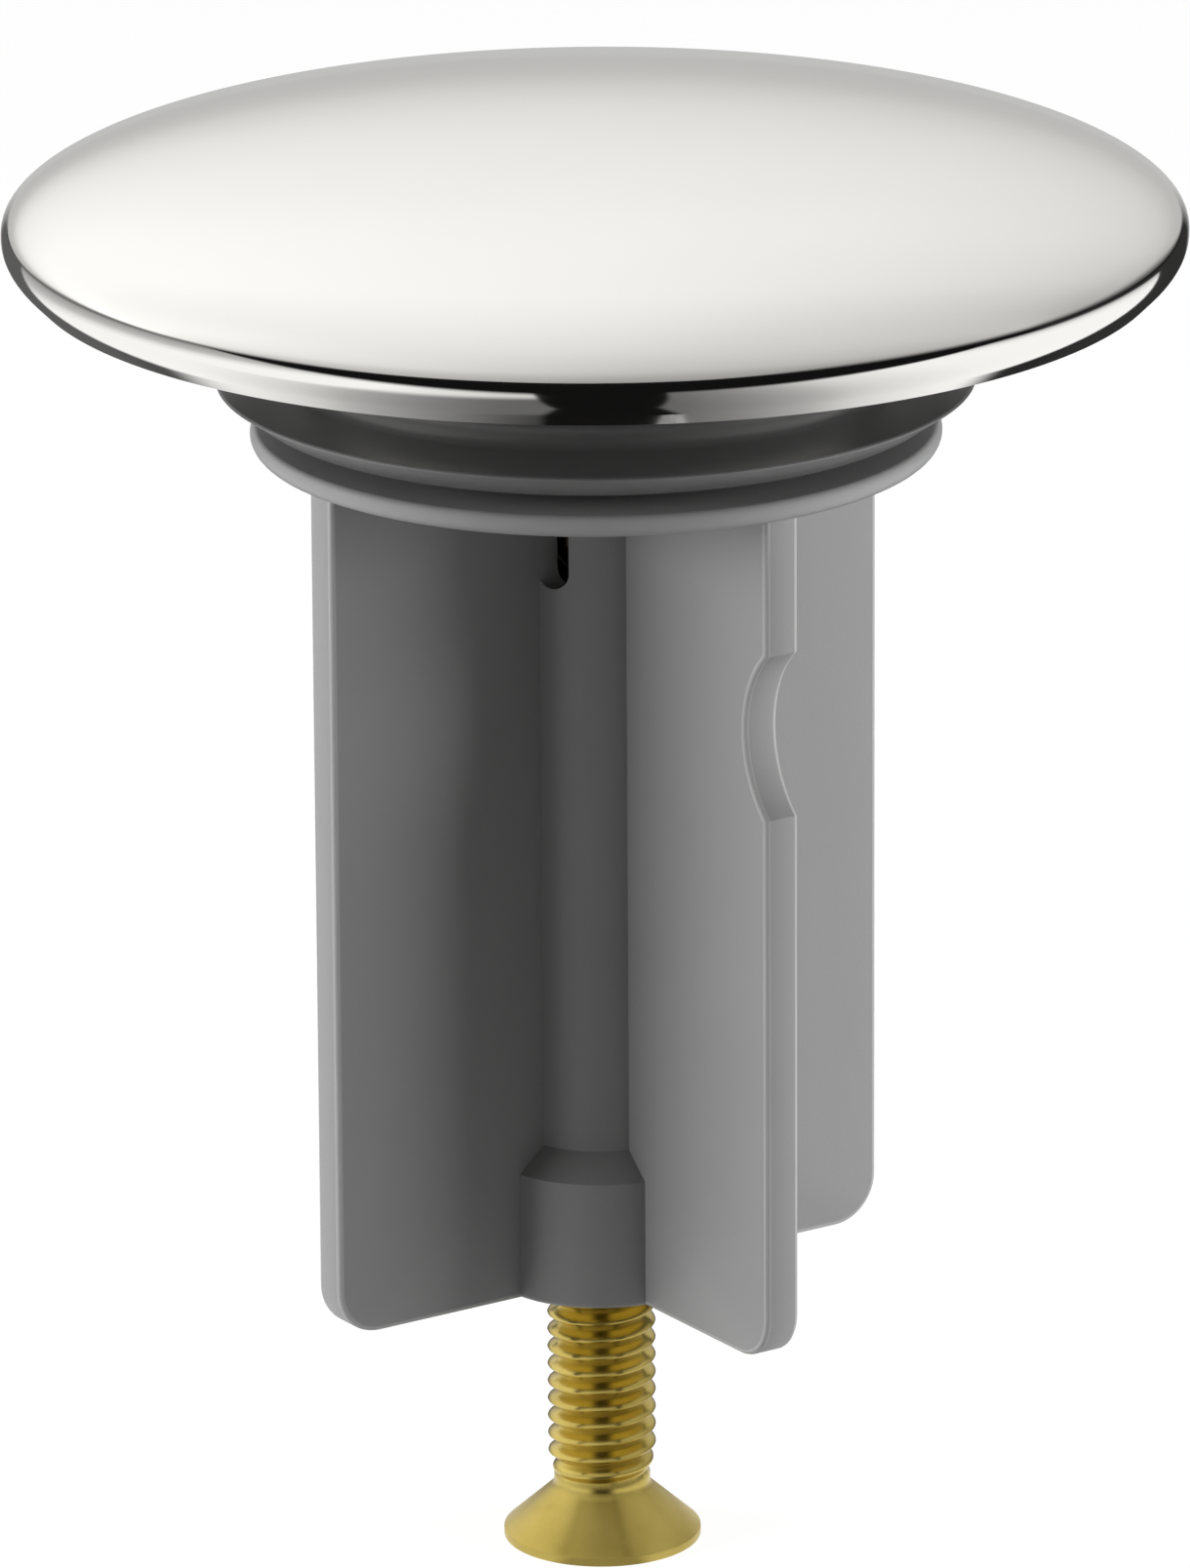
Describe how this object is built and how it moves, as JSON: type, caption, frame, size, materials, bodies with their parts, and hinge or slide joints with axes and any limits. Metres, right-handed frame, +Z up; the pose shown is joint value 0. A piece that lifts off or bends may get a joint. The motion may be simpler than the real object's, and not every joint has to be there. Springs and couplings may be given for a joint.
{
  "type": "washbasin drain valve plug",
  "caption": "Pop-up washbasin drain plug: a domed metal cap over a rubber lip seal, on a finned plastic guide with an adjusting screw in its foot.",
  "frame": {"origin": "centre of the screw head's flat end face, the plug's lowest point, on the plug's axis", "axes": "+Z up along the plug's axis to the crown of the cap, -Y towards the fin with the half-round notch"},
  "size_m": [0.063, 0.063, 0.0792],
  "materials": {
    "polished_nickel": "polished plating",
    "turned_brass": "turned, with a rolled thread",
    "black_rubber": "matte, moulded",
    "grey_plastic": "satin, moulded"
  },
  "bodies": {
    "guide": {"guide_body": "grey_plastic", "profile_seal": "black_rubber", "thread_insert": "turned_brass"},
    "cover": {"cover_cap": "polished_nickel", "cap_stem": "turned_brass"},
    "screw": {"adjusting_screw": "turned_brass"}
  },
  "joints": [
    {"name": "screw_turn", "type": "hinge", "parent": "guide", "child": "cover", "pos_m": [0, 0, 0], "axis": [0, 0, 1], "range_deg": [-2880, 3600]},
    {"name": "screw_feed", "type": "slide", "parent": "cover", "child": "screw", "axis": [0, 0, 1], "range_m": [-0.008, 0.01]}
  ],
  "couplings": [
    {"joint": "screw_feed", "follows": "screw_turn", "m_per_rad": 0.00015915}
  ]
}
